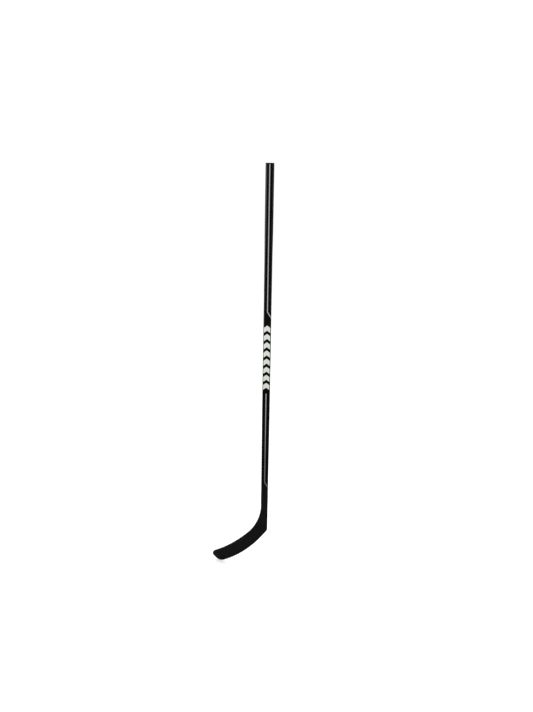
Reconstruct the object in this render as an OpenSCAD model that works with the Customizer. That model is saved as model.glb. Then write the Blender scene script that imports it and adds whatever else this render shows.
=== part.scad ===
// Ice hockey stick: a hollow laminate shaft with a moulded, curved blade bonded
// into its lower end. The toe points to -X and the blade curves towards +Y.
// Heights are worked out from the heel; the finished stick is then lowered so
// that the origin is the centre of the butt end's flat face, with +Z along the
// shaft.

/* [Shaft] */
// Length from the heel to the butt end
stick_l = 1524; // [1100:1:1600]
// Width of the shaft's broad faces
shaft_w = 31; // [25:0.5:38]
// Thickness of the shaft between its broad faces
shaft_t = 20; // [16:0.5:24]
// Radius of the shaft's four long edges
shaft_r = 4.5; // [3.5:0.1:6]
// Thickness of the shaft's laminate wall
wall = 2; // [1.5:0.1:2.5]
// Height above the heel at which the shaft starts to slim
taper_z = 560; // [300:5:600]
// Width of the slimmed lower end
neck_w = 28.7; // [23:0.1:35]
// Thickness of the slimmed lower end
neck_t = 18; // [14:0.5:22]
// Straight neck between the throat of the blade and the shaft's end
neck_l = 22; // [15:1:40]

/* [Grip] */
// Length of the full grip below the butt end
grip_l = 225; // [150:5:250]
// Length over which the shaft widens into the grip
grip_ease = 140; // [80:5:180]
// Laminate built up on each narrow side of the grip
grip_build = 1; // [0:0.1:3]
// Radius of the grip's four long edges
grip_r = 7; // [5:0.1:8]

/* [Blade outline] */
// Angle between the shaft and the line of the sole
lie_angle = 135; // [131:0.5:139]
// Length of the blade from heel to toe
blade_l = 286; // [230:1:345]
// Height of the blade at its throat
blade_h = 57; // [46:1:69]
// Radius of the throat, where the neck turns into the top edge
throat_r = 180; // [140:5:215]
// Radius of the top edge
top_r = 1100; // [900:10:2000]
// Radius of the sole's rocker
rocker_r = 825; // [650:10:1500]
// Distance from the heel to the rocker's lowest point
rocker_u = 112; // [90:1:135]
// Radius of the heel corner
heel_r = 16; // [10:1:22]
// Lean of the toe's straight edge beyond square
toe_lean = 2; // [0:0.5:6]
// Radius of the toe's upper corner
toe_top_r = 24; // [15:0.5:29]
// Radius of the toe's lower corner
toe_sole_r = 31.5; // [20:0.5:38]

/* [Blade face] */
// Distance from the heel at which the face starts to curve
curve_u = 31.5; // [20:0.5:60]
// How far the toe stands out of the shaft's plane
curve_depth = 70; // [30:1:84]
// How late the curve comes: 1 is an even bend, more is a toe curve
curve_power = 1.92; // [1.5:0.02:2.6]
// Thickness of the blade past the heel
blade_t = 7.2; // [6:0.1:9]
// Thickness of the blade at the toe
toe_t = 5.4; // [4.5:0.1:7]
// Rounding of the blade's edges
edge_r = 2.4; // [1:0.1:2.5]
// Length over which the neck thins into the blade
blend_l = 175; // [120:5:210]

/* [Blade build-up] */
// Thickness of each laminate face skin
skin_t = 1; // [0.7:0.1:1.6]
// Width of the solid laminate band round the edge
band_w = 4; // [3:0.1:7]
// Width of the stiffening rib between the two foam cores
rib_w = 5; // [3:0.5:9]
// Place of the rib across the blade, from sole (0) to top edge (1)
rib_at = 0.52; // [0.35:0.01:0.65]
// Resin line left between bonded pieces
bond = 0.05; // [0.02:0.01:0.1]

/* [Joint] */
// Length of the tenon inside the shaft
tenon_l = 65; // [40:1:90]
// Thickness of the adhesive round the tenon
glue_t = 0.4; // [0.2:0.1:0.8]
// Thickness of the wrap over the joint
wrap_t = 0.3; // [0.2:0.1:0.6]
// Length of the wrap on the shaft
wrap_up = 34; // [20:1:40]
// Length of the wrap on the neck
wrap_down = 18; // [10:1:35]

/* [Butt end] */
// Thickness of the end plug's flange
flange_t = 4; // [2:0.5:8]
// Length of the plug's stem inside the shaft
stem_l = 45; // [25:1:80]
// Wall of the plug's hollow stem
stem_wall = 2; // [1.5:0.1:3]
// Gap between the stem and the shaft's wall
stem_gap = 0.45; // [0.3:0.05:0.8]
// Number of grip ribs round the stem
stem_ribs = 5; // [2:1:8]
// Length of the damping foam above the stem's end
foam_l = 30; // [15:1:60]

/* [Graphics] */
// Thickness of the printed film
film_t = 0.12; // [0.08:0.01:0.2]
// Width of the pinstripe
stripe_w = 3.6; // [2:0.1:6]
// Angle at which the pinstripe turns off across the face
stripe_turn = 33; // [25:1:50]
// Height above the heel at which the upper pinstripe turns
upper_turn_z = 963; // [780:1:1150]
// Height above the heel at which the lower pinstripe starts
lower_top_z = 628; // [540:1:630]
// Height above the heel at which the lower pinstripe turns
lower_turn_z = 237; // [228:1:280]
// Height above the heel at which the row of marks starts
marks_z = 644; // [635:1:700]
// Length of the row of marks
marks_l = 269; // [180:1:275]
// Width of the row of marks across the face and its edges
marks_w = 25.2; // [12:0.2:27]
// Number of chevron marks
marks_n = 8; // [3:1:12]

/* [Hidden] */

// Facets round a corner of the shaft's section, and stations along the blade
corner_n = 8;
neck_n = 2;
fan_n = 16;
body_n = 16;
toe_n = 12;
edge_n = 6;
face_n = 8;
// Length over which the toe's edge rounds off, and how thin it ends
rim_l = 3;
rim_end = 0.15;
// Chamfer at the tenon's tip, and how far it draws in
tip_l = 4;
tip_in = 1;
// Levels at which the widening grip is cut, facets of a full circle, and the
// least radius of an inner corner
grip_n = 8;
circle_n = 48;
least_r = 1;
// Share of a rib's pitch that the rib fills
rib_share = 0.25;
// Share of the half thickness that an edge's rounding may take up
round_share = 0.8;
// Share of each mark's pitch that is printed, and how far a chevron's arms drop
mark_share = 0.6;
mark_slant = 0.75;

// ---- outline of the blade in its own plane, x across and z up, heel at z = 0

slope_a = lie_angle - 90;
sole_dir = [-cos(slope_a), -sin(slope_a)];
rise_dir = [-sin(slope_a), cos(slope_a)];
half_neck = neck_w / 2;
heel = [half_neck, 0];

function at(u, v) = heel + u * sole_dir + v * rise_dir;
function along(p) = (p - heel) * sole_dir;
function unit(v) = v / norm(v);
function mix(a, b, k) = a + (b - a) * k;
function clamp(x) = min(max(x, 0), 1);
function smooth(x) = let (k = clamp(x)) k * k * (3 - 2 * k);

// Crossing of a circle by the line p + w d: side 1 is the farther one, -1 the nearer
function crossing(c, r, p, d, side) =
    let (m = p - c, b = m * d, k = b * b - m * m + r * r)
    p + (side * sqrt(max(k, 0)) - b) * d;

// Point at share k of the shorter arc about c from p0 to p1
function arc_point(c, p0, p1, k) =
    let (
        a0 = atan2(p0[1] - c[1], p0[0] - c[0]),
        a1 = atan2(p1[1] - c[1], p1[0] - c[0]),
        turn = (a1 - a0 + 540) % 360 - 180,
        ang = a0 + turn * k
    )
    c + norm(p0 - c) * [cos(ang), sin(ang)];

// The throat's arc touches the neck's front edge and the top edge
throat_u = (neck_w + throat_r - (blade_h + throat_r) * sin(slope_a)) / cos(slope_a);
throat_c = at(throat_u, blade_h + throat_r);
throat_z = throat_c[1];
top_c = at(throat_u, blade_h + top_r);
sole_c = at(rocker_u, rocker_r);

// The heel's arc touches the back edge and the sole
heel_cx = half_neck - heel_r;
heel_c = [heel_cx, sole_c[1] - sqrt(pow(rocker_r - heel_r, 2) - pow(heel_cx - sole_c[0], 2))];
heel_end = sole_c + rocker_r * unit(heel_c - sole_c);

// The toe's two corners touch its straight edge and the top edge or the sole
toe_up = cos(toe_lean) * rise_dir + sin(toe_lean) * sole_dir;
toe_out = cos(toe_lean) * sole_dir - sin(toe_lean) * rise_dir;
toe_mid = at(blade_l, blade_h / 2);
toe_top_c = crossing(top_c, top_r + toe_top_r, toe_mid - toe_top_r * toe_out, toe_up, -1);
toe_sole_c = crossing(sole_c, rocker_r - toe_sole_r, toe_mid - toe_sole_r * toe_out, toe_up, -1);
top_end = top_c + top_r * unit(toe_top_c - top_c);
sole_end = sole_c + rocker_r * unit(toe_sole_c - sole_c);

// Where a ray from the throat's centre leaves through the back edge, heel or sole
heel_from = atan2(heel_c[1] - throat_c[1], half_neck - throat_c[0]);
heel_to = atan2(heel_end[1] - throat_c[1], heel_end[0] - throat_c[0]);
function outer_point(ang) =
    let (d = [cos(ang), sin(ang)])
    ang >= heel_from ? throat_c + d * (half_neck - throat_c[0]) / d[0]
    : ang > heel_to ? crossing(heel_c, heel_r, throat_c, d, 1)
    : crossing(sole_c, rocker_r, throat_c, d, 1);

joint_z = throat_z + neck_l;
grip_z = stick_l - grip_l - grip_ease;

// Stations along the blade, each a pair of points: outer edge, then inner edge.
// The body's first and last stations stand a bond line inside its ends.
body_k = [bond, norm(top_end - at(throat_u, blade_h)) - bond] / norm(top_end - at(throat_u, blade_h));
pairs = concat(
    [for (i = [0 : neck_n - 1]) let (z = mix(joint_z - bond, throat_z, i / neck_n))
        [[half_neck, z], [-half_neck, z]]],
    [for (i = [0 : fan_n]) let (ang = -slope_a * i / fan_n)
        [outer_point(ang), throat_c + throat_r * [cos(ang), sin(ang)]]],
    [for (i = [0 : body_n]) let (k = mix(body_k[0], body_k[1], i / body_n))
        [arc_point(sole_c, outer_point(-slope_a), sole_end, k),
         arc_point(top_c, at(throat_u, blade_h), top_end, k)]],
    [for (i = [0 : toe_n]) let (k = i / toe_n)
        [arc_point(toe_sole_c, sole_end, toe_sole_c + toe_sole_r * toe_out, k),
         arc_point(toe_top_c, top_end, toe_top_c + toe_top_r * toe_out, k)]]
);
last = len(pairs) - 1;
toe_first = last - toe_n;
body_first = toe_first - 1 - body_n;
heel_steps = [neck_n : body_first - 1];
body_steps = [body_first : toe_first - 1];
toe_steps = [toe_first : last];
// The skins and bands run through from the neck to the toe without a break
skin_steps = [for (i = [0 : toe_first - 1]) if (i != body_first) i];

mids = [for (p = pairs) (p[0] + p[1]) / 2];
runs = [for (i = 0, s = 0; i <= last; s = s + (i < last ? norm(mids[i + 1] - mids[i]) : 0), i = i + 1) s];

// ---- thickness and face curve

function width(i) = norm(pairs[i][1] - pairs[i][0]);
function blend(i) = smooth((runs[i] - neck_l) / blend_l);
function thinning(i) = clamp((runs[i] - neck_l - blend_l) / (runs[last] - neck_l - blend_l));
function rim(i) = let (k = clamp((runs[last] - runs[i]) / rim_l)) max(sqrt(1 - (1 - k) * (1 - k)), rim_end);
function half(i) = rim(i) * (mix(neck_t, blade_t, blend(i)) + (toe_t - blade_t) * thinning(i)) / 2;
function round_r(i) = min(mix(shaft_r, edge_r, blend(i)), round_share * half(i));
function skin(i) = mix(wall, skin_t, blend(i));
function band(i) = mix(wall, band_w, blend(i));

// Half thickness at distance d from the outer edge, where the edges are rounded
function half_at(i, d) =
    let (r = round_r(i), e = min(d, width(i) - d))
    e < r ? half(i) - r + sqrt(r * r - (r - e) * (r - e)) : half(i);
// Half thickness of what lies inside the skins
function inner_at(i, d) = min(half(i) - skin(i), half_at(i, d) - skin(i) / 2);

function face_y(u) = let (k = max(0, (u - curve_u) / (blade_l - curve_u))) curve_depth * pow(k, curve_power);
function face_slope(u) =
    let (k = max(0, (u - curve_u) / (blade_l - curve_u)))
    curve_depth * curve_power / (blade_l - curve_u) * pow(k, curve_power - 1);

// Point in space: station i, distance d from the outer edge, depth w off the middle
function blade_point(i, d, w) =
    let (
        p = pairs[i][0] + d * unit(pairs[i][1] - pairs[i][0]),
        u = along(p),
        s = face_slope(u)
    )
    [p[0], face_y(u), p[1]] + w * unit([-s * sole_dir[0], 1, -s * sole_dir[1]]);

// ---- solids made from grids

// Closed solid between two grids of the same shape, front and back
module between(front, back) {
    rows = len(front);
    cols = len(front[0]);
    m = rows * cols;
    polyhedron(
        points = [for (g = [front, back]) for (row = g) for (p = row) p],
        faces = concat(
            [for (i = [0 : rows - 2]) for (k = [0 : cols - 2]) let (a = i * cols + k)
                [a, a + 1, a + cols + 1, a + cols]],
            [for (i = [0 : rows - 2]) for (k = [0 : cols - 2]) let (a = m + i * cols + k)
                [a, a + cols, a + cols + 1, a + 1]],
            [for (i = [0 : rows - 2]) let (a = i * cols) [a, a + cols, a + cols + m, a + m]],
            [for (i = [0 : rows - 2]) let (a = i * cols + cols - 1) [a, a + m, a + cols + m, a + cols]],
            [for (k = [0 : cols - 2]) [k, k + m, k + 1 + m, k + 1]],
            [for (k = [0 : cols - 2]) let (a = (rows - 1) * cols + k) [a, a + 1, a + 1 + m, a + m]]
        ),
        convexity = 8
    );
}

// Closed tube between outer and inner rings
module ring_tube(outer, inner) {
    rows = len(outer);
    cols = len(outer[0]);
    m = rows * cols;
    polyhedron(
        points = [for (g = [outer, inner]) for (row = g) for (p = row) p],
        faces = concat(
            [for (i = [0 : rows - 2]) for (k = [0 : cols - 1])
                let (a = i * cols + k, b = i * cols + (k + 1) % cols) [a, a + cols, b + cols, b]],
            [for (i = [0 : rows - 2]) for (k = [0 : cols - 1])
                let (a = m + i * cols + k, b = m + i * cols + (k + 1) % cols) [a, b, b + cols, a + cols]],
            [for (k = [0 : cols - 1]) let (b = (k + 1) % cols) [k, b, b + m, k + m]],
            [for (k = [0 : cols - 1]) let (a = (rows - 1) * cols + k, b = (rows - 1) * cols + (k + 1) % cols)
                [a, a + m, b + m, b]]
        ),
        convexity = 8
    );
}

// Solid skinned over rings, closed at both ends
module loft(rings) {
    cols = len(rings[0]);
    end = (len(rings) - 1) * cols;
    polyhedron(
        points = [for (ring = rings) for (p = ring) p],
        faces = concat(
            [for (i = [0 : len(rings) - 2]) for (k = [0 : cols - 1])
                let (a = i * cols + k, b = i * cols + (k + 1) % cols) [a, a + cols, b + cols, b]],
            [[for (k = [0 : cols - 1]) k]],
            [[for (k = [cols - 1 : -1 : 0]) end + k]]
        ),
        convexity = 4
    );
}

// Piece of the blade over some stations; lane(i) lists [distance, near depth, far depth]
module blade_piece(steps, lane) {
    between(
        [for (i = steps) [for (e = lane(i)) blade_point(i, e[0], e[1])]],
        [for (i = steps) [for (e = lane(i)) blade_point(i, e[0], e[2])]]
    );
}

module from_heel() {
    translate([0, 0, -stick_l]) children();
}

// ---- shaft section

function shaft_k(z) = clamp((taper_z - z) / (taper_z - joint_z));
function grip_k(z) = smooth((z - grip_z) / grip_ease);
function half_t(z) = mix(shaft_t, neck_t, shaft_k(z)) / 2;
function core_half_w(z) = mix(shaft_w, neck_w, shaft_k(z)) / 2;
function half_w(z) = core_half_w(z) + grip_build * grip_k(z);
function long_r(z) = mix(shaft_r, grip_r, grip_k(z));

// Closed ring of points at height z, from its half sizes and corner radius
function ring(z, w, t, r) =
    [for (q = [0 : 3]) for (k = [0 : corner_n])
        let (ang = 90 * q + 90 * k / corner_n, sx = (q == 0 || q == 3) ? 1 : -1, sy = q < 2 ? 1 : -1)
        [sx * (w - r) + r * cos(ang), sy * (t - r) + r * sin(ang), z]];

// The shaft's surface, and a ring inset from the section without its grip; a
// negative inset stands proud
function outer_ring(z) = ring(z, half_w(z), half_t(z), long_r(z));
function section_ring(z, inset) =
    ring(z, core_half_w(z) - inset, half_t(z) - inset, max(shaft_r - inset, least_r));

// Rounded rectangle with exact arcs
module rounded(w, t, r) {
    square([w - 2 * r, t], center = true);
    square([w, t - 2 * r], center = true);
    for (sx = [-1, 1])
        for (sy = [-1, 1])
            translate([sx * (w / 2 - r), sy * (t / 2 - r)])
                circle(r = r, $fn = circle_n);
}

// Outline of the bore's shape, inset from the straight section
module section(inset) {
    rounded(shaft_w - 2 * inset, shaft_t - 2 * inset, max(shaft_r - inset, least_r));
}

// The section as the rings have it, so that straight part and taper meet edge to edge
module facet_section(inset) {
    polygon([for (p = section_ring(taper_z, inset)) [p[0], p[1]]]);
}

// Length of tube between the shaft's surface and its bore
module tube_between(levels) {
    ring_tube([for (z = levels) outer_ring(z)], [for (z = levels) section_ring(z, wall)]);
}

module shaft_tube() {
    top_z = stick_l - flange_t - bond;
    color([0.06, 0.06, 0.06])
    from_heel() {
        tube_between([joint_z, taper_z]);
        translate([0, 0, taper_z])
            linear_extrude(grip_z - taper_z)
                difference() {
                    facet_section(0);
                    facet_section(wall);
                }
        tube_between(concat([for (k = [0 : grip_n]) grip_z + grip_ease * k / grip_n], [top_z]));
    }
}

// ---- butt end

module butt_plug() {
    rib_pitch = stem_l / (stem_ribs + 1);
    stem_z = stick_l - flange_t - stem_l;
    color([0.12, 0.12, 0.12])
    from_heel() {
        translate([0, 0, stick_l - flange_t])
            linear_extrude(flange_t)
                rounded(shaft_w + 2 * grip_build, shaft_t, grip_r);
        translate([0, 0, stem_z])
            linear_extrude(stem_l)
                difference() {
                    section(wall + stem_gap);
                    section(wall + stem_gap + stem_wall);
                }
        for (i = [1 : stem_ribs])
            translate([0, 0, stem_z + i * rib_pitch])
                linear_extrude(rib_pitch * rib_share)
                    difference() {
                        section(wall + bond);
                        section(wall + stem_gap + stem_wall / 2);
                    }
    }
}

module butt_foam() {
    color([0.85, 0.84, 0.78])
    from_heel()
    translate([0, 0, stick_l - flange_t - stem_l - bond - foam_l])
        linear_extrude(foam_l)
            section(wall + bond);
}

// ---- joint between shaft and blade

module hosel_tenon() {
    inset = wall + 2 * bond + glue_t;
    tip_z = joint_z + tenon_l;
    color([0.3, 0.3, 0.32])
    from_heel()
    loft([
        section_ring(throat_z + bond, inset),
        section_ring(joint_z, inset),
        section_ring(tip_z - tip_l, inset),
        [for (p = section_ring(tip_z - tip_l, inset + tip_in)) [p[0], p[1], tip_z]]
    ]);
}

module tenon_glue() {
    levels = [joint_z + bond, joint_z + tenon_l - tip_l];
    color([0.75, 0.6, 0.3])
    from_heel()
    ring_tube(
        [for (z = levels) section_ring(z, wall + bond)],
        [for (z = levels) section_ring(z, wall + bond + glue_t)]
    );
}

module joint_wrap() {
    levels = [joint_z - wrap_down, joint_z, joint_z + wrap_up];
    color([0.08, 0.08, 0.085])
    from_heel()
    ring_tube(
        [for (z = levels) section_ring(z, -bond - wrap_t)],
        [for (z = levels) section_ring(z, -bond)]
    );
}

// ---- inside the blade

// Lane of n steps between distances d0 and d1, inside the skins
function core_lane(i, d0, d1, n) =
    [for (k = [0 : n]) let (d = mix(d0, d1, k / n), w = inner_at(i, d) - bond) [d, w, -w]];
function rib_mid(i) = mix(band(i), width(i) - band(i), rib_at);

module heel_block() {
    color([0.3, 0.3, 0.32])
    from_heel()
    blade_piece(heel_steps, function (i)
        core_lane(i, band(i) + bond, width(i) - band(i) - bond, face_n));
}

module lower_core() {
    color([0.9, 0.85, 0.65])
    from_heel()
    blade_piece(body_steps, function (i)
        core_lane(i, band(i) + bond, rib_mid(i) - rib_w / 2 - bond, face_n / 2));
}

module blade_rib() {
    color([0.2, 0.2, 0.22])
    from_heel()
    blade_piece(body_steps, function (i)
        core_lane(i, rib_mid(i) - rib_w / 2, rib_mid(i) + rib_w / 2, 2));
}

module upper_core() {
    color([0.9, 0.85, 0.65])
    from_heel()
    blade_piece(body_steps, function (i)
        core_lane(i, rib_mid(i) + rib_w / 2 + bond, width(i) - band(i) - bond, face_n / 2));
}

// ---- skins and edge of the blade

// Distances across a face: close together over the rounded edges, then even steps
function face_steps(i) =
    let (
        d0 = band(i) + bond,
        d1 = max(round_r(i), d0 + skin(i) / 2),
        near = [for (k = [0 : 2]) mix(d0, d1, k / 3)]
    )
    concat(
        near,
        [for (k = [0 : face_n]) mix(d1, width(i) - d1, k / face_n)],
        [for (k = [2 : -1 : 0]) width(i) - near[k]]
    );

// Skin on one face of the blade: side 1 is the face that the blade curves towards
module skin_piece(side) {
    blade_piece(skin_steps, function (i)
        [for (d = face_steps(i)) side > 0
            ? [d, half_at(i, d), inner_at(i, d)]
            : [d, -inner_at(i, d), -half_at(i, d)]]);
}

module forehand_skin() {
    color([0.09, 0.09, 0.09])
    from_heel()
    skin_piece(1);
}

module backhand_skin() {
    color([0.09, 0.09, 0.09])
    from_heel()
    skin_piece(-1);
}

// Distances from the rim inwards to reach, by equal turns of the rounded edge
function edge_steps(i, reach) =
    let (r = round_r(i), turn = acos(1 - min(1, 0.9 * reach / r)))
    concat([for (k = [0 : edge_n]) r * (1 - cos(turn * k / edge_n))], [reach]);
function reversed(v) = [for (k = [len(v) - 1 : -1 : 0]) v[k]];
function full_lane(i, steps) = [for (d = steps) [d, half_at(i, d), -half_at(i, d)]];

module sole_band() {
    color([0.1, 0.1, 0.1])
    from_heel()
    blade_piece(skin_steps, function (i) full_lane(i, edge_steps(i, band(i))));
}

module top_band() {
    color([0.1, 0.1, 0.1])
    from_heel()
    blade_piece(skin_steps, function (i)
        full_lane(i, reversed([for (d = edge_steps(i, band(i))) width(i) - d])));
}

module toe_insert() {
    color([0.13, 0.13, 0.13])
    from_heel()
    blade_piece(toe_steps, function (i)
        let (edge = edge_steps(i, band(i)), inset = band(i))
        full_lane(i, concat(
            edge,
            [for (k = [1 : face_n - 1]) mix(inset, width(i) - inset, k / face_n)],
            reversed([for (d = edge) width(i) - d])
        )));
}

// ---- printed films, laid on the shaft

// Point on the shaft at girth g from the middle of the front face, standing proud by h
function on_shaft(g, z, h) =
    let (
        w = half_w(z), t = half_t(z), r = long_r(z),
        flat = w - r,
        bend = r * PI / 2,
        s = g < 0 ? -1 : 1,
        e = abs(g),
        ang = clamp((e - flat) / bend) * 90,
        rest = max(0, e - flat - bend)
    )
    e <= flat ? [g, -t - h, z]
    : [s * (flat + (r + h) * sin(ang)), -(t - r) - (r + h) * cos(ang) + rest, z];

// Film over a grid of [girth, height] points
module film(grid) {
    between(
        [for (row = grid) [for (q = row) on_shaft(q[0], q[1], bond)]],
        [for (row = grid) [for (q = row) on_shaft(q[0], q[1], bond + film_t)]]
    );
}

// Girth from the middle of the front face to the end of the rounded edge, and on
// to the middle of the side
function edge_girth(z) = half_w(z) - long_r(z) + long_r(z) * PI / 2;
function side_girth(z) = edge_girth(z) + half_t(z) - long_r(z);

// Pinstripe: straight down the face from top_z, then off across it to the side
module stripe(top_z, turn_z) {
    h = stripe_w / 2;
    mitre = h * tan(stripe_turn / 2);
    end_z = turn_z - side_girth(turn_z) / tan(stripe_turn);
    flat = half_w(end_z) - long_r(end_z);
    girths = concat(
        [2 * h],
        [for (k = [0 : corner_n + 2]) mix(flat, edge_girth(turn_z), k / (corner_n + 2))],
        [side_girth(end_z) - bond]
    );
    breaks = (top_z > taper_z && turn_z < taper_z) ? [top_z, taper_z] : [top_z];
    film(concat(
        [for (z = breaks) [[-h, z], [h, z]]],
        [[[-h, turn_z - mitre], [h, turn_z + mitre]]],
        [for (g = girths) [
            [g, turn_z - mitre - (g + h) / tan(stripe_turn)],
            [g, turn_z + mitre - (g - h) / tan(stripe_turn)]
        ]]
    ));
}

module stripe_upper() {
    stripe(stick_l - flange_t - 2 * bond, upper_turn_z);
}

module stripe_lower() {
    stripe(lower_top_z, lower_turn_z);
}

// Row of plain chevrons pointing up the shaft
module marks() {
    pitch = marks_l / marks_n;
    flat = shaft_w / 2 - shaft_r;
    g_end = marks_w / 2;
    girths = concat(
        [for (k = [3 : -1 : 1]) -mix(flat, g_end, k / 3)],
        [-flat, -flat / 2, 0, flat / 2, flat],
        [for (k = [1 : 3]) mix(flat, g_end, k / 3)]
    );
    for (i = [0 : marks_n - 1])
        film([for (z = [marks_z + (i + mark_share) * pitch, marks_z + i * pitch])
            [for (g = girths) [g, z + mark_slant * (g_end - abs(g))]]]);
}

module on_back() {
    mirror([0, 1, 0]) children();
}

module front_stripe_upper() {
    color([0.57, 0.57, 0.58])
    from_heel()
    stripe_upper();
}

module front_stripe_lower() {
    color([0.45, 0.45, 0.46])
    from_heel()
    stripe_lower();
}

module front_marks() {
    color([0.9, 0.92, 0.88])
    from_heel()
    marks();
}

module back_stripe_upper() {
    color([0.57, 0.57, 0.58])
    from_heel()
    on_back() stripe_upper();
}

module back_stripe_lower() {
    color([0.45, 0.45, 0.46])
    from_heel()
    on_back() stripe_lower();
}

module back_marks() {
    color([0.9, 0.92, 0.88])
    from_heel()
    on_back() marks();
}

shaft_tube();
butt_plug();
butt_foam();
hosel_tenon();
tenon_glue();
joint_wrap();
heel_block();
lower_core();
blade_rib();
upper_core();
forehand_skin();
backhand_skin();
sole_band();
top_band();
toe_insert();
front_stripe_upper();
front_stripe_lower();
front_marks();
back_stripe_upper();
back_stripe_lower();
back_marks();
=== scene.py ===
"""Ice hockey stick: glossy laminate shaft, satin moulded blade and printed films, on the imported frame."""
import math

import bpy
import numpy as np
from mathutils import Matrix, Vector


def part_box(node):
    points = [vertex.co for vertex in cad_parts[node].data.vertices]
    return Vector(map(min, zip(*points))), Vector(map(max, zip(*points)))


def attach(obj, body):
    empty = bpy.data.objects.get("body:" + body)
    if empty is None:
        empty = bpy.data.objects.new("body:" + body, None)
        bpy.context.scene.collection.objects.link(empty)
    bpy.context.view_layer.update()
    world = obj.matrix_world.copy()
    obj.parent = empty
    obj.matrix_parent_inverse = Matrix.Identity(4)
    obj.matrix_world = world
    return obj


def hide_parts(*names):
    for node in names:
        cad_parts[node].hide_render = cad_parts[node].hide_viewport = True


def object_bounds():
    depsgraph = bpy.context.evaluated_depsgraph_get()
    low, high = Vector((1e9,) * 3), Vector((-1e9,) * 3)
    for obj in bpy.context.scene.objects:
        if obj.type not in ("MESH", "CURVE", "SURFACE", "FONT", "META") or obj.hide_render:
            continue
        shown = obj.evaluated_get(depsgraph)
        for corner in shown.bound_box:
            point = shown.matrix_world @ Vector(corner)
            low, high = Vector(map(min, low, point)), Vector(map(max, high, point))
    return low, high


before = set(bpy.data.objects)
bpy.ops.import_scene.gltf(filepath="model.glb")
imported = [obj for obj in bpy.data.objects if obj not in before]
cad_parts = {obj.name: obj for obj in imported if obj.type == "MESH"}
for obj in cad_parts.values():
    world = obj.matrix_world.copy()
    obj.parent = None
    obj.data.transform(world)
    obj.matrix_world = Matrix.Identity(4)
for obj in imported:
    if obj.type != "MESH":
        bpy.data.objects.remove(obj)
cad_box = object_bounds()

MM = 0.001
BODY = "root"

# ---------------------------------------------------------------- sizes, in metres

tube_low, tube_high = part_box("shaft_tube")
plug_low, plug_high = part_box("butt_plug")
wrap_low, wrap_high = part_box("joint_wrap")
GRIP_BUILD = 1.0 * MM
GRIP_L = 225 * MM
GRIP_EASE = 140 * MM
GRIP_R = 7.0 * MM
SHAFT_W = tube_high.x - tube_low.x - 2 * GRIP_BUILD
SHAFT_T = tube_high.y - tube_low.y
SHAFT_R = 4.5 * MM
WALL = 2.0 * MM
STICK_L = 1524 * MM
HEEL_Z = plug_high.z - STICK_L
JOINT_Z = tube_low.z - HEEL_Z
TAPER_Z = 560 * MM
NECK_W = 28.7 * MM
NECK_T = 18 * MM

# the bond line between pieces, the least radius of an inner edge, and the rounding of cut ends
BOND = 0.05 * MM
LEAST_R = 0.4 * MM
LIP_R = 0.25 * MM

# the sleeve over the joint: how it feathers out at each end
FEATHER_L = 9 * MM
FEATHER_T = 0.02 * MM

# the end plug: depths in from the shaft's outer face, and the rounding of its rims
PLUG_RIM_R = 1.2 * MM
PLUG_SMALL_R = 0.35 * MM
STEM_IN = 2.45 * MM
RIB_IN = 2.05 * MM
HOLLOW_IN = 4.45 * MM
CORE_IN = 9.4 * MM
STEM_RIBS = 5

LIE = math.radians(135)
BLADE_L = 286 * MM
BLADE_H = 57 * MM
THROAT_R = 180 * MM
TOP_R = 1100 * MM
ROCKER_R = 825 * MM
ROCKER_U = 112 * MM
HEEL_R = 16 * MM
TOE_LEAN = math.radians(2)
TOE_TOP_R = 24 * MM
TOE_SOLE_R = 31.5 * MM
CURVE_U = 31.5 * MM
CURVE_DEPTH = 70 * MM
CURVE_POWER = 1.92
BLADE_T = 7.2 * MM
TOE_T = 5.4 * MM
EDGE_R = 2.4 * MM
BLEND_L = 175 * MM
SKIN_T = 1.0 * MM
BAND_W = 4.0 * MM
RIM_L = 3 * MM
RIM_END = 0.12
ROUND_SHARE = 0.85
TURN_REACH = 0.9

FILM_T = 0.12 * MM
STRIPE_W = 3.6 * MM
STRIPE_TURN = math.radians(33)
UPPER_TURN_Z = 963 * MM
LOWER_TOP_Z = 628 * MM
LOWER_TURN_Z = 237 * MM
MARKS_Z = 644 * MM
MARKS_L = 269 * MM
MARKS_W = 25.2 * MM
MARKS_N = 8
MARK_SHARE = 0.6
MARK_SLANT = 0.75

# the gloss coat gives way to the blade's satin paint over this run above the heel
SATIN_Z = 200 * MM
SATIN_EASE = 60 * MM

# ---------------------------------------------------------------- meshes from arrays


def add_mesh(name, points, faces, uv=None, crease=math.radians(35)):
    """Object called name from an (n, 3) array of points and quads; edges sharper than crease stay sharp."""
    mesh = bpy.data.meshes.new(name)
    mesh.from_pydata(np.asarray(points, float).tolist(), [], [list(f) for f in faces])
    if uv is not None:
        layer = mesh.uv_layers.new(name="UVMap")
        corner = np.zeros(len(mesh.loops), np.int32)
        mesh.loops.foreach_get("vertex_index", corner)
        layer.data.foreach_set("uv", np.asarray(uv, np.float32)[corner].ravel())
    mesh.polygons.foreach_set("use_smooth", np.ones(len(mesh.polygons), bool))
    mesh.set_sharp_from_angle(angle=crease)
    mesh.validate()
    mesh.update()
    piece = bpy.data.objects.new(name, mesh)
    bpy.context.scene.collection.objects.link(piece)
    return piece


def quads(rows, cols, start=0, around=False, flip=False):
    """Quads of a rows x cols grid of points, numbered row by row.

    around joins the last column to the first, flip turns the quads over.
    """
    i, k = np.meshgrid(np.arange(rows - 1), np.arange(cols if around else cols - 1), indexing="ij")
    a = start + i * cols + k
    b = start + i * cols + (k + 1) % cols
    q = np.stack([a, b, b + cols, a + cols], -1).reshape(-1, 4)
    return q[:, ::-1] if flip else q


def strip(first, second):
    """Quads between two equally long rows of point numbers."""
    a, b = np.asarray(first), np.asarray(second)
    return np.stack([a[:-1], a[1:], b[1:], b[:-1]], -1)


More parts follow.
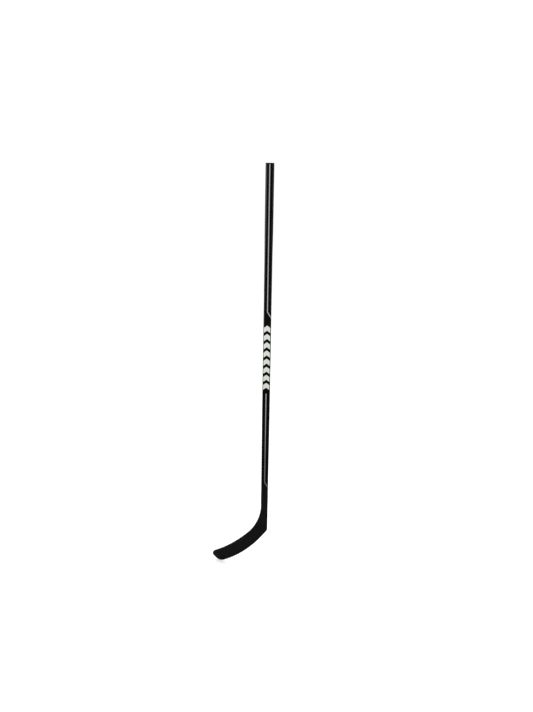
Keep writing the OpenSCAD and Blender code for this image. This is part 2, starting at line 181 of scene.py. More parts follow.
def slab(near, far):
    """Points and quads of the closed solid between two (rows, cols, 3) grids, near being on the +Y side."""
    rows, cols = near.shape[:2]
    m = rows * cols
    index = np.arange(m).reshape(rows, cols)
    faces = np.concatenate([
        quads(rows, cols),
        quads(rows, cols, m, flip=True),
        strip(index[:, 0], index[:, 0] + m),
        strip(index[:, -1] + m, index[:, -1]),
        strip(index[0] + m, index[0]),
        strip(index[-1], index[-1] + m),
    ])
    return np.concatenate([near.reshape(-1, 3), far.reshape(-1, 3)]), faces


def faces_out(points, faces):
    """The same quads, turned round if the volume that they enclose comes out negative."""
    p = points[np.asarray(faces)]
    centre = p.mean(1)
    normal = np.cross(p[:, 2] - p[:, 0], p[:, 3] - p[:, 1])
    return faces if (centre * normal).sum() > 0 else np.asarray(faces)[:, ::-1]


# ---------------------------------------------------------------- the shaft's section


def mix(a, b, k):
    """Value a share k of the way from a to b."""
    return a + (b - a) * k


def smooth(k):
    """S-curve from 0 to 1: three times the share's square less twice its cube."""
    k = np.clip(k, 0, 1)
    return k * k * (3 - 2 * k)


def grip_share(z):
    """Share of the grip's build-up at height z: 0 on the shaft, 1 on the grip, with an S-curve between."""
    return smooth((z - (STICK_L - GRIP_L - GRIP_EASE)) / GRIP_EASE)


def shaft_half(z, grip=True):
    """Half width and half thickness at height z over the heel.

    Both are even down to TAPER_Z, then fall evenly to the neck's at the joint. The grip's build-up adds to
    the half width by its share.
    """
    k = np.clip((TAPER_Z - z) / (TAPER_Z - JOINT_Z), 0, 1)
    build = np.where(grip, GRIP_BUILD * grip_share(z), 0)
    return mix(SHAFT_W, NECK_W, k) / 2 + build, mix(SHAFT_T, NECK_T, k) / 2


def long_radius(z, grip=True):
    """Radius of the four long edges, which is larger round the grip."""
    return np.where(grip, mix(SHAFT_R, GRIP_R, grip_share(z)), SHAFT_R)


def lathe(z, inset, grip=True, closed=True, corner=12, flat=8):
    """Surface through rings at heights z, each the shaft's section drawn in by its inset.

    A ring is four quarter circles of the edge's radius less the inset, joined by straight runs. grip says,
    ring by ring, whether the section has the grip's build-up. closed joins the last ring to the first.
    """
    z, inset, grip = (np.broadcast_to(np.asarray(v), (len(z),))[:, None] for v in (z, inset, grip))
    half_w, half_t = shaft_half(z, grip)
    w, t = half_w - inset, half_t - inset
    r = np.maximum(long_radius(z, grip) - inset, LEAST_R)
    turn = np.linspace(0, math.pi / 2, corner + 1)
    arcs = []
    for quarter, (sx, sy) in enumerate(((1, 1), (-1, 1), (-1, -1), (1, -1))):
        angle = turn + quarter * math.pi / 2
        arcs.append(np.stack([sx * (w - r) + r * np.cos(angle), sy * (t - r) + r * np.sin(angle)], -1))
    share = np.linspace(0, 1, flat + 1)[1:-1, None]
    runs = [mix(arcs[i][:, -1:], arcs[(i + 1) % 4][:, :1], share) for i in range(4)]
    outline = np.concatenate([part for pair in zip(arcs, runs) for part in pair], 1)
    rows, cols = outline.shape[:2]
    height = np.broadcast_to(z + HEEL_Z, (rows, cols))
    faces = quads(rows, cols, around=True)
    if closed:
        a = (rows - 1) * cols + np.arange(cols)
        b = np.arange(cols)
        faces = np.concatenate([faces, np.stack([a, np.roll(a, -1), np.roll(b, -1), b], -1)])
    step = np.linalg.norm(np.diff(outline, axis=1), axis=-1)
    girth = np.concatenate([np.zeros((rows, 1)), np.cumsum(step, 1)], 1)
    points = np.concatenate([outline, height[..., None]], -1).reshape(-1, 3)
    return points, faces, np.stack([girth, height], -1).reshape(-1, 2), cols


def make_shaft():
    """Tube: outer rings from the joint up to the plug, then the bore's rings back down.

    Each end of the outside is rounded by a quarter circle of radius LIP_R.
    """
    top = tube_high.z - HEEL_Z
    grip_low = STICK_L - GRIP_L - GRIP_EASE
    grip_high = STICK_L - GRIP_L
    turn = np.linspace(0, math.pi / 2, 5)
    drop = LIP_R * (1 - np.cos(turn))
    edge = LIP_R * (1 - np.sin(turn))
    z = np.concatenate([
        JOINT_Z + drop,
        np.linspace(JOINT_Z + LIP_R, TAPER_Z, 16)[1:],
        np.linspace(TAPER_Z, grip_low, 24)[1:],
        np.linspace(grip_low, grip_high, 24)[1:],
        np.linspace(grip_high, top - LIP_R, 10)[1:-1],
        top - drop[::-1],
    ])
    inset = np.concatenate([edge, np.zeros(len(z) - 2 * len(turn)), edge[::-1]])
    bore = np.array([top, TAPER_Z, JOINT_Z])
    grip = np.arange(len(z) + len(bore)) < len(z)
    z = np.concatenate([z, bore])
    inset = np.concatenate([inset, WALL + 0 * bore])
    points, faces, uv, _ = lathe(z, inset, grip)
    return add_mesh("shaft", points, faces_out(points, faces), uv)


def make_wrap():
    """Sleeve over the joint, proud of the shaft by the wrap's thickness.

    At each end it rises out of the surface by an S-curve over FEATHER_L.
    """
    low = wrap_low.z - HEEL_Z
    high = wrap_high.z - HEEL_Z
    proud = (wrap_high.x - wrap_low.x) / 2 - shaft_half(high)[0]
    share = np.linspace(0, 1, 12)
    rise = smooth(share)
    middle = np.linspace(low + FEATHER_L, high - FEATHER_L, 9)[1:-1]
    z = np.concatenate([low + FEATHER_L * share, middle, high - FEATHER_L * share[::-1], [high, low]])
    k = np.concatenate([rise, np.ones(len(middle)), rise[::-1]])
    skin = BOND + FEATHER_T
    inset = -np.concatenate([skin + (proud - skin) * k, [BOND, BOND]])
    points, faces, uv, _ = lathe(z, inset)
    return add_mesh("joint_sleeve", points, faces_out(points, faces), uv)


def make_plug():
    """End plug: a flange with rounded rims over a hollow stem with grip ribs.

    It is one closed profile of (height, inset) pairs carried round the shaft's section. The flange follows
    the grip's section, the stem the bore's.
    """
    top = plug_high.z - HEEL_Z
    under = tube_high.z - HEEL_Z + BOND
    low = plug_low.z - HEEL_Z
    rim, small = PLUG_RIM_R, PLUG_SMALL_R
    turn = np.linspace(0, math.pi / 2, 9)
    flange = [(top, depth) for depth in (CORE_IN, 6 * MM, 3 * MM)]
    flange += [(top - rim + rim * math.cos(a), rim - rim * math.sin(a)) for a in turn]
    flange += [(under + small - small * math.sin(a), small - small * math.cos(a)) for a in turn[::2]]
    pitch = (under - low) / (STEM_RIBS + 1)
    shank = [(under, STEM_IN)]
    for base in low + pitch * np.arange(STEM_RIBS, 0, -1):
        crest = base + pitch / 4
        shank += [(crest + small, STEM_IN), (crest, RIB_IN), (base, RIB_IN), (base - small, STEM_IN)]
    shank += [(low + small, STEM_IN), (low, STEM_IN + small), (low, HOLLOW_IN - small)]
    shank += [(low + small, HOLLOW_IN), (under - small, HOLLOW_IN), (under - small, CORE_IN)]
    z, inset = np.array(flange + shank).T
    grip = np.arange(len(z)) < len(flange)
    points, faces, uv, cols = lathe(z, inset, grip, closed=False)
    first_cap = list(range(cols))[::-1]
    final_cap = list(range(len(points) - cols, len(points)))
    return add_mesh("end_plug", points, [list(f) for f in faces] + [first_cap, final_cap], uv)


# ---------------------------------------------------------------- the blade's outline and face

SLOPE = LIE - math.pi / 2
ALONG = np.array([-math.cos(SLOPE), -math.sin(SLOPE)])
RISE = np.array([-math.sin(SLOPE), math.cos(SLOPE)])
HEEL = np.array([NECK_W / 2, 0.0])


def at(u, v):
    """Point in the blade's plane, u along the sole from the heel and v up from it."""
    return HEEL + u * ALONG + v * RISE


def unit(v):
    """The same directions at length 1."""
    return v / np.linalg.norm(v, axis=-1, keepdims=True)


def crossing(centre, radius, p, d, side):
    """Where the lines p + w d cross a circle: side 1 is the farther crossing, -1 the nearer."""
    m = p - centre
    b = (m * d).sum(-1)
    root = np.sqrt(np.maximum(b * b - (m * m).sum(-1) + radius * radius, 0))
    return p + (side * root - b)[..., None] * d


def arc(centre, first, final, k):
    """Points at shares k of the shorter arc about centre from first to final."""
    a0 = math.atan2(*(first - centre)[::-1])
    a1 = math.atan2(*(final - centre)[::-1])
    turn = (a1 - a0 + math.pi) % (2 * math.pi) - math.pi
    angle = a0 + turn * k
    return centre + np.linalg.norm(first - centre) * np.stack([np.cos(angle), np.sin(angle)], -1)


class Outline:
    """Stations along the blade, each with its outer and inner edge point, thickness and edge rounding."""

    def __init__(self, neck_n=10, fan_n=60, body_n=90, toe_n=40):
        throat_u = (NECK_W + THROAT_R - (BLADE_H + THROAT_R) * math.sin(SLOPE)) / math.cos(SLOPE)
        throat = at(throat_u, BLADE_H + THROAT_R)
        top = at(throat_u, BLADE_H + TOP_R)
        sole = at(ROCKER_U, ROCKER_R)
        heel_x = NECK_W / 2 - HEEL_R
        drop = math.sqrt((ROCKER_R - HEEL_R) ** 2 - (heel_x - sole[0]) ** 2)
        heel = np.array([heel_x, sole[1] - drop])
        heel_end = sole + ROCKER_R * unit(heel - sole)
        toe_up = math.cos(TOE_LEAN) * RISE + math.sin(TOE_LEAN) * ALONG
        toe_out = math.cos(TOE_LEAN) * ALONG - math.sin(TOE_LEAN) * RISE
        toe_mid = at(BLADE_L, BLADE_H / 2)
        toe_top = crossing(top, TOP_R + TOE_TOP_R, toe_mid - TOE_TOP_R * toe_out, toe_up, -1)
        toe_sole = crossing(sole, ROCKER_R - TOE_SOLE_R, toe_mid - TOE_SOLE_R * toe_out, toe_up, -1)
        top_end = top + TOP_R * unit(toe_top - top)
        sole_end = sole + ROCKER_R * unit(toe_sole - sole)

        # the neck: straight down from the joint to where the throat's arc starts
        z = np.linspace(JOINT_Z - BOND, throat[1], neck_n, endpoint=False)
        neck = [np.stack([0 * z + x, z], -1) for x in (NECK_W / 2, -NECK_W / 2)]
        # the fan: rays from the throat's centre, out to the back edge, the heel's corner or the sole
        angle = -SLOPE * np.linspace(0, 1, fan_n + 1)
        ray = np.stack([np.cos(angle), np.sin(angle)], -1)
        back = throat + ray * ((NECK_W / 2 - throat[0]) / ray[:, :1])
        corner = crossing(heel, HEEL_R, throat, ray, 1)
        low = crossing(sole, ROCKER_R, throat, ray, 1)
        start = math.atan2(heel[1] - throat[1], NECK_W / 2 - throat[0])
        finish = math.atan2(*(heel_end - throat)[::-1])
        edge = np.where((angle >= start)[:, None], back, np.where((angle > finish)[:, None], corner, low))
        # the body: even steps along the sole's and the top edge's arcs
        k = np.linspace(0, 1 - BOND / np.linalg.norm(top_end - at(throat_u, BLADE_H)), body_n + 1)
        body = [arc(sole, low[-1], sole_end, k), arc(top, at(throat_u, BLADE_H), top_end, k)]
        # the toe: even turns of its two corners, closing up towards the straight edge
        k = np.linspace(0, 1, toe_n + 1)
        toe = [arc(toe_sole, sole_end, toe_sole + TOE_SOLE_R * toe_out, k),
               arc(toe_top, top_end, toe_top + TOE_TOP_R * toe_out, k)]

        self.outer = np.concatenate([neck[0], edge, body[0][1:], toe[0]])
        self.inner = np.concatenate([neck[1], throat + THROAT_R * ray, body[1][1:], toe[1]])
        self.toe_first = neck_n + fan_n + 1 + body_n
        middle = (self.outer + self.inner) / 2
        self.run = np.concatenate([[0], np.cumsum(np.linalg.norm(np.diff(middle, axis=0), axis=1))])
        self.width = np.linalg.norm(self.inner - self.outer, axis=1)
        end = self.run[-1]
        neck_l = JOINT_Z - throat[1]
        k = np.clip((self.run - neck_l) / BLEND_L, 0, 1)
        self.blend = k * k * (3 - 2 * k)
        thinning = np.clip((self.run - neck_l - BLEND_L) / (end - neck_l - BLEND_L), 0, 1)
        left = np.clip((end - self.run) / RIM_L, 0, 1)
        rim = np.maximum(np.sqrt(1 - (1 - left) ** 2), RIM_END)
        self.half = rim * (mix(NECK_T, BLADE_T, self.blend) + (TOE_T - BLADE_T) * thinning) / 2
        self.radius = np.minimum(mix(SHAFT_R, EDGE_R, self.blend), ROUND_SHARE * self.half)
        self.band = mix(WALL, BAND_W, self.blend)
        self.skin = mix(WALL, SKIN_T, self.blend)

    def half_at(self, rows, d):
        """Half thickness at distance d from the outer edge.

        It is flat, less a quarter circle near either edge.
        """
        r = self.radius[rows][:, None]
        h = self.half[rows][:, None]
        e = np.minimum(d, self.width[rows][:, None] - d)
        e = np.clip(e, 0, None)
        return np.where(e < r, h - r + np.sqrt(np.maximum(r * r - (r - e) ** 2, 0)), h)

    def inner_at(self, rows, d):
        """Half thickness under the skins."""
        skin = self.skin[rows][:, None]
        return np.minimum(self.half[rows][:, None] - skin, self.half_at(rows, d) - skin / 2)

    def place(self, rows, d, w):
        """Points at distance d across station rows and depth w off the middle.

        The middle stands out of the shaft's plane by a power of the share of the blade's length that lies
        past CURVE_U, and depths are measured square to that curve.
        """
        outer, inner = self.outer[rows], self.inner[rows]
        p = outer[:, None] + d[..., None] * unit(inner - outer)[:, None]
        share = np.maximum(0, ((p - HEEL) @ ALONG - CURVE_U) / (BLADE_L - CURVE_U))
        y = CURVE_DEPTH * share ** CURVE_POWER
        slope = CURVE_DEPTH * CURVE_POWER / (BLADE_L - CURVE_U) * share ** (CURVE_POWER - 1)
        normal = unit(np.stack([-slope * ALONG[0], np.ones_like(slope), -slope * ALONG[1]], -1))
        points = np.stack([p[..., 0], y, p[..., 1]], -1) + w[..., None] * normal
        return points + np.array([0, 0, HEEL_Z])


blade = Outline()


def edge_distances(rows, reach, n=10):
    """Distances from the rim in to reach, by equal turns of the rounded edge, then one last step."""
    r = blade.radius[rows][:, None]
    reach = reach[:, None]
    turn = np.arccos(1 - np.minimum(1, TURN_REACH * reach / r))
    return np.concatenate([r * (1 - np.cos(turn * np.linspace(0, 1, n + 1))), reach], 1)


def make_skin(name, side):
    """Skin of the blade between its two edge bands: rounded outside where the neck is, flat further on."""
    rows = np.arange(blade.toe_first)
    width = blade.width[rows][:, None]
    first = blade.band[rows][:, None]
    full = np.maximum(blade.radius[rows][:, None], first + 0.5 * MM)
    near = mix(first, full, np.linspace(0, 1, 7)[:-1])
    d = np.concatenate([near, mix(full, width - full, np.linspace(0, 1, 25)), width - near[:, ::-1]], 1)
    outside, inside = blade.half_at(rows, d), blade.inner_at(rows, d)
    near_w, far_w = (outside, inside) if side > 0 else (-inside, -outside)
    points, faces = slab(blade.place(rows, d, near_w), blade.place(rows, d, far_w))
    return add_mesh(name, points, faces_out(points, faces))


def make_band(name, far_edge):
    """Solid band round the sole, or round the top edge, with its rounded rim."""
    rows = np.arange(blade.toe_first)
    d = edge_distances(rows, blade.band[rows])
    if far_edge:
        d = blade.width[rows][:, None] - d[:, ::-1]
    h = blade.half_at(rows, d)
    points, faces = slab(blade.place(rows, d, h), blade.place(rows, d, -h))
    return add_mesh(name, points, faces_out(points, faces))


def make_toe():
    """Moulded toe: the whole section, rounded at both edges and thinning to a round rim at the end."""
    rows = np.arange(blade.toe_first, len(blade.run))
    edge = edge_distances(rows, blade.band[rows])
    width = blade.width[rows][:, None]
    inset = blade.band[rows][:, None]
    middle = mix(inset, width - inset, np.linspace(0, 1, 20)[1:-1])
    d = np.concatenate([edge, middle, width - edge[:, ::-1]], 1)
    h = blade.half_at(rows, d)
    points, faces = slab(blade.place(rows, d, h), blade.place(rows, d, -h))
    return add_mesh("blade_toe", points, faces_out(points, faces))


# ---------------------------------------------------------------- printed films


def on_shaft(girth, z, proud):
    """Points on the shaft at a girth from the middle of the front face and a height, standing proud of it.

    Within the flat the girth is x itself; past it the point turns round the edge's quarter circle, then
    runs straight along the side.
    """
    half_w, half_t = shaft_half(z)
    r = long_radius(z)
    flat = half_w - r
    bend = r * math.pi / 2
    e = np.abs(girth)
    side = np.sign(girth)
    angle = np.clip((e - flat) / bend, 0, 1) * math.pi / 2
    rest = np.maximum(0, e - flat - bend)
    reach = np.minimum(e, flat)
    x = side * (reach + (r + proud) * np.sin(angle))
    y = -(half_t - r) - (r + proud) * np.cos(angle) + rest
    return np.stack([x, y, z + HEEL_Z], -1)


def film(girth, z):
    """Thin closed film over a grid of girths and heights."""
    under = on_shaft(girth, z, BOND)
    over = on_shaft(girth, z, BOND + FILM_T)
    points, faces = slab(under, over)
    uv = np.stack([girth, z], -1).reshape(-1, 2)
    return points, faces, np.concatenate([uv, uv])


def side_girth(z):
    """Girth from the middle of the front face to the middle of the shaft's side."""
    half_w, half_t = shaft_half(z)
    r = long_radius(z)
    return half_w + half_t - 2 * r + r * math.pi / 2


def stripe_grid(top_z, turn_z, down_n=40, turn_n=40, cols=5):
    """Girths and heights of a pinstripe.

    It runs straight down the face, then turns off across it to the middle of the side. The two runs meet on
    the mitre of the turn.
    """
    half = STRIPE_W / 2
    tan_turn = math.tan(STRIPE_TURN)
    mitre = half * math.tan(STRIPE_TURN / 2)
    end_z = turn_z - side_girth(turn_z) / tan_turn
    last = side_girth(end_z) - BOND
    z = np.linspace(top_z, turn_z + 3 * mitre, down_n)
    left = [np.stack([0 * z - half, z], -1), [[-half, turn_z - mitre]]]
    right = [np.stack([0 * z + half, z], -1), [[half, turn_z + mitre]]]
    g = np.linspace(2 * half, last, turn_n)
    left.append(np.stack([g, turn_z - mitre - (g + half) / tan_turn], -1))
    right.append(np.stack([g, turn_z + mitre - (g - half) / tan_turn], -1))
    left, right = np.concatenate(left), np.concatenate(right)
    k = np.linspace(0, 1, cols)[:, None]
    return mix(left[:, None], right[:, None], k)


def make_stripe(name, top_z, turn_z, back):
    """Pinstripe on the front face, or on the back face."""
    grid = stripe_grid(top_z, turn_z)
    points, faces, uv = film(grid[..., 0], grid[..., 1])
    return add_film(name, points, faces, uv, back)


def add_film(name, points, faces, uv, back):
    """Object of a film laid out on the front face; back turns it over to the back face."""
    if back:
        points = points * np.array([1, -1, 1])
    return add_mesh(name, points, faces_out(points, faces), uv)


def make_marks(name, back):
    """Row of chevrons: each a band of even height whose arms drop with the distance from the middle."""
    pitch = MARKS_L / MARKS_N
    girth = np.linspace(-MARKS_W / 2, MARKS_W / 2, 41)
    point_sets, face_sets, uv_sets, count = [], [], [], 0
    for i in range(MARKS_N):
        base = MARKS_Z + i * pitch + MARK_SLANT * (MARKS_W / 2 - np.abs(girth))
        z = mix((base + MARK_SHARE * pitch)[None], base[None], np.linspace(0, 1, 7)[:, None])
        points, faces, uv = film(np.broadcast_to(girth, z.shape), z)
        if back:
            points = points * np.array([1, -1, 1])
        face_sets.append(faces_out(points, faces) + count)
        point_sets.append(points)
        uv_sets.append(uv)
        count += len(points)
    return add_mesh(name, np.concatenate(point_sets), np.concatenate(face_sets), np.concatenate(uv_sets))


# ---------------------------------------------------------------- materials


class Nodes:
    """Node graph of one material, with short calls for the nodes that the finishes use."""

    def __init__(self, name):
        self.material = bpy.data.materials.new(name)
        self.material.use_nodes = True
        self.tree = self.material.node_tree
        self.shader = self.tree.nodes["Principled BSDF"]

    def node(self, kind, inputs=None, **settings):
        made = self.tree.nodes.new(kind)
        for key, value in settings.items():
            setattr(made, key, value)
        for key, value in (inputs or {}).items():
            self.feed(made.inputs[key], value)
        return made

    def feed(self, socket, value):
        if hasattr(value, "is_output"):
            self.tree.links.new(value, socket)
        else:
            socket.default_value = value

    def math(self, operation, *values):
        return self.node("ShaderNodeMath", dict(enumerate(values)), operation=operation).outputs[0]

    def ramp(self, value, low, high, to_low=0.0, to_high=1.0):
        inputs = {"Value": value, "From Min": low, "From Max": high, "To Min": to_low, "To Max": to_high}
        return self.node("ShaderNodeMapRange", inputs).outputs["Result"]

    def noise(self, vector, scale, detail=3.0, rough=0.5):
        inputs = {"Vector": vector, "Scale": scale, "Detail": detail, "Roughness": rough}
        return self.node("ShaderNodeTexNoise", inputs).outputs["Fac"]

    def blend(self, share, first, second):
        made = self.node("ShaderNodeMix", data_type="RGBA")
        self.feed(made.inputs[0], share)
        self.feed(made.inputs[6], (*first, 1) if isinstance(first, tuple) else first)
        self.feed(made.inputs[7], (*second, 1) if isinstance(second, tuple) else second)
        return made.outputs[2]

    def place(self):
        return self.node("ShaderNodeTexCoord").outputs["Object"]

    def spread(self):
        return self.node("ShaderNodeUVMap", uv_map="UVMap").outputs["UV"]

    def turned(self, vector, scale, angle=(0, 0, 0)):
        inputs = {"Vector": vector, "Scale": scale, "Rotation": angle}
        return self.node("ShaderNodeMapping", inputs).outputs["Vector"]

    def bump(self, height, strength, distance):
        inputs = {"Height": height, "Strength": strength, "Distance": distance}
        return self.node("ShaderNodeBump", inputs).outputs["Normal"]

    def finish(self, **inputs):
        for key, value in inputs.items():
            self.feed(self.shader.inputs[key.replace("_", " ")], value)
        return self.material


def twill(g, vector, tow, across="X", up="Y"):
    """2/2 twill weave: each cell of the tow grid lies over or under by the sum of its two indices.

    Returns which way the top tow runs (0 or 1) and the height of its rounded back.
    """
    parts = g.node("ShaderNodeSeparateXYZ", {"Vector": vector})
    a = g.math("DIVIDE", parts.outputs[across], tow)
    b = g.math("DIVIDE", parts.outputs[up], tow)
    total = g.math("ADD", g.math("FLOOR", a), g.math("FLOOR", b))
    over = g.math("LESS_THAN", g.math("FLOORED_MODULO", total, 4.0), 2.0)

    def back(c):
        return g.math("SINE", g.math("MULTIPLY", g.math("FRACT", c), math.pi))

    warp, weft = back(a), back(b)
    height = g.math("ADD", g.math("MULTIPLY", over, warp),
                    g.math("MULTIPLY", g.math("SUBTRACT", 1.0, over), weft))
    return over, height


GLOSS_WEFT = (0.0010, 0.0011, 0.0010)
GLOSS_WARP = (0.0030, 0.0031, 0.0030)
GLOSS_CLOUD = (0.0036, 0.0037, 0.0035)
HOSEL_SATIN = (0.0040, 0.0043, 0.0041)
SATIN_TONES = (
    (0.0031, 0.0034, 0.0032),
    (0.0056, 0.0060, 0.0057),
    (0.0060, 0.0064, 0.0061),
    # the last tone is painted light: the lit grey that the blade is painted towards the toe
    (0.0080, 0.0085, 0.0082),
)
# painted light: the blade's tone is lightened from the first x to the second, towards the toe
PAINTED_LIGHT_FROM_X = -40 * MM
PAINTED_LIGHT_TO_X = -220 * MM
SHAFT_TOW = 2.4 * MM
BLADE_TOW = 3.0 * MM


def shaft_finish():
    """Black laminate with a faint twill under a clear gloss coat, which gives way to satin near the joint."""
    g = Nodes("gloss_laminate")
    over, height = twill(g, g.spread(), SHAFT_TOW)
    place = g.place()
    cloud = g.noise(place, 14.0, 4.0)
    up = g.node("ShaderNodeSeparateXYZ", {"Vector": place}).outputs["Z"]
    satin_low = HEEL_Z + SATIN_Z
    satin_range = {"Value": up, "From Min": satin_low + SATIN_EASE, "From Max": satin_low}
    satin_share = g.node("ShaderNodeMapRange", satin_range, interpolation_type="SMOOTHSTEP").outputs["Result"]
    base = g.blend(over, GLOSS_WEFT, GLOSS_WARP)
    base = g.blend(g.ramp(cloud, 0.35, 0.7, 0.0, 0.5), base, GLOSS_CLOUD)
    base = g.blend(satin_share, base, HOSEL_SATIN)
    rough = g.math("ADD", g.ramp(cloud, 0.3, 0.7, 0.2, 0.3), g.math("MULTIPLY", satin_share, 0.2))
    coat = g.math("MULTIPLY", g.math("SUBTRACT", 1.0, satin_share), 0.6)
    ripple = g.math("ADD", g.noise(place, 45.0, 1.0), g.math("MULTIPLY", height, 0.04))
    return g.finish(Base_Color=base, Roughness=rough, Specular_IOR_Level=0.35,
                    Coat_Weight=coat, Coat_Roughness=0.06, Normal=g.bump(ripple, 0.04, 0.0003))


def blade_finish(name="satin_laminate", lift=1.0):
    """Satin black laminate with a twill at 45 degrees that just shows, with painted light that makes it
    greyer towards the toe, where its tilted face catches the light.

    lift scales all its tones.
    """
    g = Nodes(name)
    place = g.place()
    over, height = twill(g, g.turned(place, (1, 1, 1), (0, math.radians(45), 0)), BLADE_TOW, "X", "Z")
    cloud = g.noise(place, 22.0, 4.0)
    grit = g.noise(place, 2600.0, 2.0, 0.6)
    along = g.node("ShaderNodeSeparateXYZ", {"Vector": place}).outputs["X"]
    # painted light: share of the lit grey, rising towards the toe as if its tilted face caught more light
    painted_light = g.ramp(along, PAINTED_LIGHT_FROM_X, PAINTED_LIGHT_TO_X)
    weft, warp, patch, painted_lit_tone = (tuple(lift * c for c in tone) for tone in SATIN_TONES)
    base = g.blend(over, weft, warp)
    base = g.blend(g.ramp(cloud, 0.35, 0.75, 0.0, 0.35), base, patch)
    # painted light: the base blends into the lit grey towards the toe
    base = g.blend(g.math("MULTIPLY", painted_light, 0.75), base, painted_lit_tone)
    rough = g.ramp(cloud, 0.3, 0.7, 0.42, 0.55)
    relief = g.math("ADD", g.math("MULTIPLY", height, 0.4), g.math("MULTIPLY", grit, 0.5))
    return g.finish(Base_Color=base, Roughness=rough, Specular_IOR_Level=0.3,
                    Normal=g.bump(relief, 0.2, 0.00015))


def plastic_finish(name, colour, rough_low, rough_high, grain=1800.0):
    """Moulded plastic: fine spark-eroded grain and slight patches of polish."""
    g = Nodes(name)
    cloud = g.noise(g.place(), 60.0, 3.0)
    grit = g.noise(g.place(), grain, 2.0, 0.6)
    base = g.blend(g.ramp(cloud, 0.3, 0.7), colour, tuple(1.35 * c for c in colour))
    return g.finish(Base_Color=base, Roughness=g.ramp(cloud, 0.3, 0.7, rough_low, rough_high),
                    Specular_IOR_Level=0.35, Normal=g.bump(grit, 0.3, 0.0001))


def ink_finish(name, top, bottom, top_z, bottom_z, rough):
    """Printed film: colour going from bottom at bottom_z to top at top_z, darker lower down, with a fine
    screen grain and light scuffs.
    """
    g = Nodes(name)
    place = g.place()
    height = g.node("ShaderNodeSeparateXYZ", {"Vector": place}).outputs["Z"]
    fade = g.ramp(height, bottom_z, top_z)
    grain = g.noise(place, 3200.0, 2.0, 0.6)
    scuff = g.noise(g.turned(place, (1, 1, 0.15)), 240.0, 5.0, 0.65)
    base = g.blend(fade, bottom, top)
    base = g.blend(g.ramp(grain, 0.3, 0.7, 0.0, 0.12), base, tuple(0.7 * c for c in bottom))
    base = g.blend(g.ramp(scuff, 0.62, 0.8, 0.0, 0.35), base, tuple(0.5 * c for c in bottom))
    return g.finish(Base_Color=base, Roughness=g.ramp(scuff, 0.3, 0.8, rough, rough + 0.2),
                    Specular_IOR_Level=0.4, Normal=g.bump(grain, 0.15, 0.00005))


def foam_finish(name, colour, cell):
    """Cut foam: small open cells over an even colour, with painted shade darkening each cell's pit."""
    g = Nodes(name)
    cells = g.node("ShaderNodeTexVoronoi", {"Vector": g.place(), "Scale": 1 / cell}).outputs["Distance"]
    # painted shade: the colour darkens towards each cell's middle, where the bump sinks a pit
    base = g.blend(g.ramp(cells, 0.1, 0.6), tuple(0.6 * c for c in colour), colour)
    return g.finish(Base_Color=base, Roughness=0.85, Normal=g.bump(cells, 0.6, 0.0004))


def paint(piece, material):
    """Give the whole piece one finish."""
    piece.data.materials.clear()
    piece.data.materials.append(material)


# ---------------------------------------------------------------- pieces on the frame

# the toe moulding's black, partly painted light: it is set as light as the blade's painted light at the toe
TOE_BLACK_AND_PAINTED_LIGHT = (0.0074, 0.0080, 0.0077)
PLUG_BLACK = (0.004, 0.004, 0.004)
STRIPE_GREY = (0.27, 0.27, 0.276)
STRIPE_DIM = (0.105, 0.105, 0.108)
MARK_WHITE = (0.49, 0.52, 0.468)
MARK_DIM = (0.45, 0.475, 0.428)
CORE_YELLOW = (0.72, 0.62, 0.36)
DAMPER_CREAM = (0.7, 0.68, 0.6)
RESIN_AMBER = (0.4, 0.27, 0.08)

gloss = shaft_finish()
satin = blade_finish()
wrap_satin = blade_finish("wrap_laminate", 0.95)
toe_plastic = plastic_finish("toe_moulding", TOE_BLACK_AND_PAINTED_LIGHT, 0.5, 0.6)
plug_plastic = plastic_finish("plug_moulding", PLUG_BLACK, 0.5, 0.62)
stripe_ink = ink_finish("stripe_ink", STRIPE_GREY, STRIPE_DIM, HEEL_Z + 660 * MM, HEEL_Z + 330 * MM, 0.35)
mark_ink = ink_finish("mark_ink", MARK_WHITE, MARK_DIM, HEEL_Z + 900 * MM, HEEL_Z + 600 * MM, 0.4)

PIECES = [
    (make_shaft(), "shaft_tube", "shaft_laminate", gloss),
    (make_plug(), "butt_plug", "plug_plastic", plug_plastic),
    (make_wrap(), "joint_wrap", "wrap_laminate", wrap_satin),
    (make_skin("blade_forehand", 1), "forehand_skin", "blade_laminate", satin),
    (make_skin("blade_backhand", -1), "backhand_skin", "blade_laminate", satin),
    (make_band("blade_sole", False), "sole_band", "blade_laminate", satin),
    (make_band("blade_top", True), "top_band", "blade_laminate", satin),
    (make_toe(), "toe_insert", "toe_plastic", toe_plastic),
]
stripe_top = tube_high.z - HEEL_Z - BOND
for face, back in (("front", False), ("back", True)):
    PIECES += [
        (make_stripe(f"{face}_pinstripe_upper", stripe_top, UPPER_TURN_Z, back),
         f"{face}_stripe_upper", "stripe_film", stripe_ink),
        (make_stripe(f"{face}_pinstripe_lower", LOWER_TOP_Z, LOWER_TURN_Z, back),
         f"{face}_stripe_lower", "stripe_film", stripe_ink),
        (make_marks(f"{face}_chevrons", back), f"{face}_marks", "mark_film", mark_ink),
    ]
for piece, node, slot, material in PIECES:
    paint(piece, material)
    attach(piece, BODY)
    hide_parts(node)

raw = blade_finish("raw_laminate", 2.0)
foam = foam_finish("core_foam", CORE_YELLOW, 0.6 * MM)
damper = foam_finish("damping_foam", DAMPER_CREAM, 0.9 * MM)
resin = plastic_finish("adhesive_resin", RESIN_AMBER, 0.2, 0.35)
HIDDEN = {
    "butt_foam": damper, "hosel_tenon": raw, "tenon_glue": resin, "heel_block": raw,
    "lower_core": foam, "blade_rib": raw, "upper_core": foam,
}
for node, material in HIDDEN.items():
    paint(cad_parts[node], material)

# ---------------------------------------------------------------- floor, light and camera

floor_z = cad_box[0].z


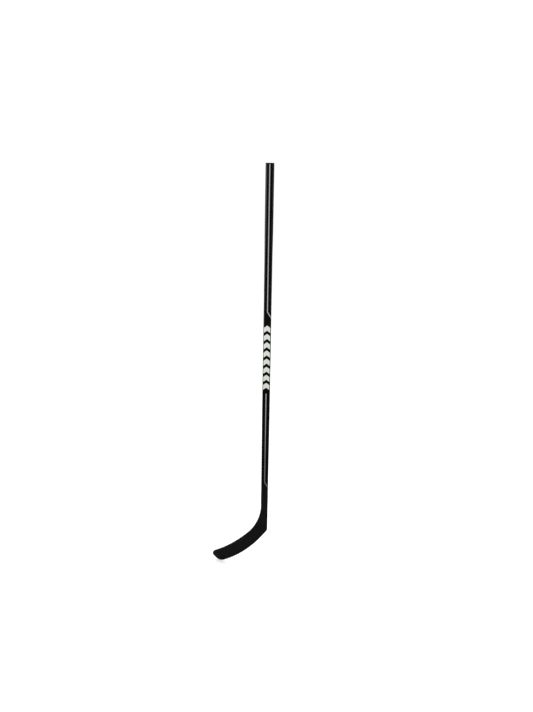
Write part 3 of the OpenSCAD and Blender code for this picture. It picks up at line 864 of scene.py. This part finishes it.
def make_floor(radius=12.0, n=96):
    """Flat round floor at the stick's lowest point."""
    angle = np.linspace(0, 2 * math.pi, n, endpoint=False)
    rim = np.stack([radius * np.cos(angle), radius * np.sin(angle), 0 * angle + floor_z], -1)
    mesh = bpy.data.meshes.new("floor")
    mesh.from_pydata(rim.tolist(), [], [list(range(n))])
    piece = bpy.data.objects.new("floor", mesh)
    bpy.context.scene.collection.objects.link(piece)
    g = Nodes("pale_floor")
    cloud = g.noise(g.place(), 3.0)
    shade = g.blend(g.ramp(cloud, 0.3, 0.7), (0.93, 0.93, 0.93), (0.95, 0.95, 0.95))
    paint(piece, g.finish(Base_Color=shade, Roughness=0.9, Specular_IOR_Level=0.0))
    piece.visible_glossy = False


make_floor()


def set_world(light, backdrop):
    """White surroundings that light the pieces, with a level of their own as the backdrop.

    They stay out of reflections, which are left to the panels.
    """
    world = bpy.data.worlds.new("studio")
    bpy.context.scene.world = world
    world.use_nodes = True
    tree = world.node_tree
    path = tree.nodes.new("ShaderNodeLightPath")
    level = tree.nodes.new("ShaderNodeMix")
    level.data_type = "FLOAT"
    tree.links.new(path.outputs["Is Camera Ray"], level.inputs[0])
    level.inputs[2].default_value = light
    level.inputs[3].default_value = backdrop
    background = tree.nodes["Background"]
    background.inputs["Color"].default_value = (1, 1, 1, 1)
    tree.links.new(level.outputs[0], background.inputs["Strength"])
    world.cycles_visibility.glossy = False


def softbox(name, place, aim, width, height, power):
    """Rectangular light at place, facing aim: sizes in metres, power in watts, unseen by the camera."""
    data = bpy.data.lights.new(name, "AREA")
    data.shape = "RECTANGLE"
    data.size, data.size_y = width, height
    data.energy = power
    light = bpy.data.objects.new(name, data)
    place, aim = Vector(place), Vector(aim)
    light.location = place
    light.rotation_mode = "QUATERNION"
    light.rotation_quaternion = (aim - place).to_track_quat("-Z", "Y")
    light.visible_camera = False
    bpy.context.scene.collection.objects.link(light)


set_world(light=1.2, backdrop=1.02)
# a long white panel on the left that ends below the shaft's middle, and a faint one on the right
softbox("left_panel", place=(-1.7, -1.6, 0.05), aim=(0, -1.6, 0.05), width=6.4, height=2.3, power=60)
softbox("right_panel", place=(1.6, -0.9, 0.1), aim=(0, 0, 0.1), width=2.0, height=1.8, power=6)


def make_camera():
    """Camera in front, a little above and to the right, turned by the stick's lean."""
    azimuth, elevation, roll = map(math.radians, (2.22, 12.64, 0.96))
    distance = 2.277
    focal_px, centre_x, centre_y = 562.15, 266.70, 361.09
    wide, tall, sensor = 533, 712, 36.0
    target = Vector((0, 0, HEEL_Z + STICK_L / 2))
    back = Vector((math.sin(azimuth) * math.cos(elevation), -math.cos(azimuth) * math.cos(elevation),
                   math.sin(elevation)))
    right = (-back).cross(Vector((0, 0, 1))).normalized()
    up = right.cross(-back)
    turned_right = math.cos(roll) * right + math.sin(roll) * up
    turned_up = -math.sin(roll) * right + math.cos(roll) * up
    data = bpy.data.cameras.new("camera")
    data.sensor_width = sensor
    data.lens = focal_px * sensor / tall
    data.shift_x = (wide / 2 - centre_x) / tall
    data.shift_y = (centre_y - tall / 2) / tall
    data.clip_start, data.clip_end = 0.05, 100
    camera = bpy.data.objects.new("camera", data)
    turn = Matrix((turned_right, turned_up, back)).transposed()
    camera.matrix_world = Matrix.Translation(target + back * distance) @ turn.to_4x4()
    bpy.context.scene.collection.objects.link(camera)
    bpy.context.scene.camera = camera


make_camera()
bpy.context.scene.view_settings.view_transform = "Standard"
